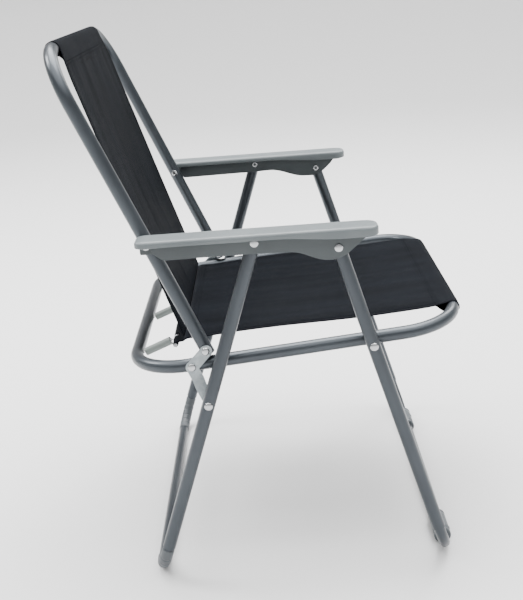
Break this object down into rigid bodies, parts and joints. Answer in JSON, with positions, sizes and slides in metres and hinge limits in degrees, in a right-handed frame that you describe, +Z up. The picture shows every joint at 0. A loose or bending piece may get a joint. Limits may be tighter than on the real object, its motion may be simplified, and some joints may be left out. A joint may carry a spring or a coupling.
{
  "type": "folding camp chair",
  "caption": "Folding camp chair with bent steel tube frames, channel armrests, V links and a woven sling seat hung on springs at the back corner.",
  "frame": {"origin": "centre of the open chair's outline at floor level", "axes": "+Z up, the sitter faces -Y, X runs across the chair"},
  "size_m": [0.564, 0.5288, 0.7444],
  "materials": {
    "tube": "satin silver-grey paint",
    "armrest": "satin",
    "zinc": "zinc plated",
    "rivet": "bright nickel",
    "spacer": "satin",
    "foot": "satin",
    "fabric": "woven polyester, hemmed",
    "wire": "zinc plated wire",
    "spring_sleeve": "satin"
  },
  "bodies": {
    "back": {"back_frame": "tube", "armrest_back_rivets": "rivet", "link_back_rivets": "rivet"},
    "armrests": {"left_armrest": "armrest", "right_armrest": "armrest"},
    "front_legs": {"front_leg_tubes": "tube", "front_ground_bar": "tube", "armrest_front_leg_rivets": "rivet", "seat_pivot_rivets": "rivet", "seat_pivot_spacers": "spacer", "front_foot_sleeves": "foot"},
    "rear_legs": {"rear_leg_tubes": "tube", "rear_ground_bar": "tube", "armrest_rear_leg_rivets": "rivet", "link_leg_rivets": "rivet", "rear_foot_sleeves": "foot"},
    "links": {"left_v_link": "zinc", "right_v_link": "zinc", "link_leg_rivet_tails": "rivet"},
    "seat": {"seat_frame": "tube", "link_seat_rivets": "rivet", "seat_pivot_rivet_tails": "rivet", "sling_seat": "fabric", "hem_rod": "wire", "springs": "wire", "spring_sleeves": "spring_sleeve"},
    "back_sling": {"sling_back": "fabric"}
  },
  "joints": [
    {"name": "fold", "type": "hinge", "parent": "back", "child": "armrests", "pos_m": [0, 0.15127, 0.488], "axis": [-1, 0, 0], "range_deg": [0, 96]},
    {"name": "rear_legs_fold", "type": "hinge", "parent": "armrests", "child": "rear_legs", "pos_m": [0, 0.01277, 0.488], "axis": [-1, 0, 0], "range_deg": [-57.4, 0]},
    {"name": "front_legs_fold", "type": "hinge", "parent": "armrests", "child": "front_legs", "pos_m": [0, -0.09273, 0.4745], "axis": [-1, 0, 0], "range_deg": [-92.9, 0]},
    {"name": "links_turn", "type": "hinge", "parent": "back", "child": "links", "pos_m": [0, 0.08827, 0.337], "axis": [-1, 0, 0], "range_deg": [0, 181.3]},
    {"name": "seat_fold", "type": "hinge", "parent": "links", "child": "seat", "pos_m": [0, 0.10877, 0.3155], "axis": [-1, 0, 0], "range_deg": [-85, 0]},
    {"name": "back_sling_give", "type": "hinge", "parent": "back", "child": "back_sling", "pos_m": [0, 0.25384, 0.73384], "axis": [-1, 0, 0], "range_deg": [0, 4.9]}
  ],
  "couplings": [
    {"joint": "rear_legs_fold", "follows": "fold", "ratio": -0.59728},
    {"joint": "front_legs_fold", "follows": "fold", "ratio": -0.96669},
    {"joint": "links_turn", "follows": "fold", "ratio": 1.8873},
    {"joint": "seat_fold", "follows": "fold", "ratio": -0.88453},
    {"joint": "back_sling_give", "follows": "fold", "ratio": 0.05}
  ]
}
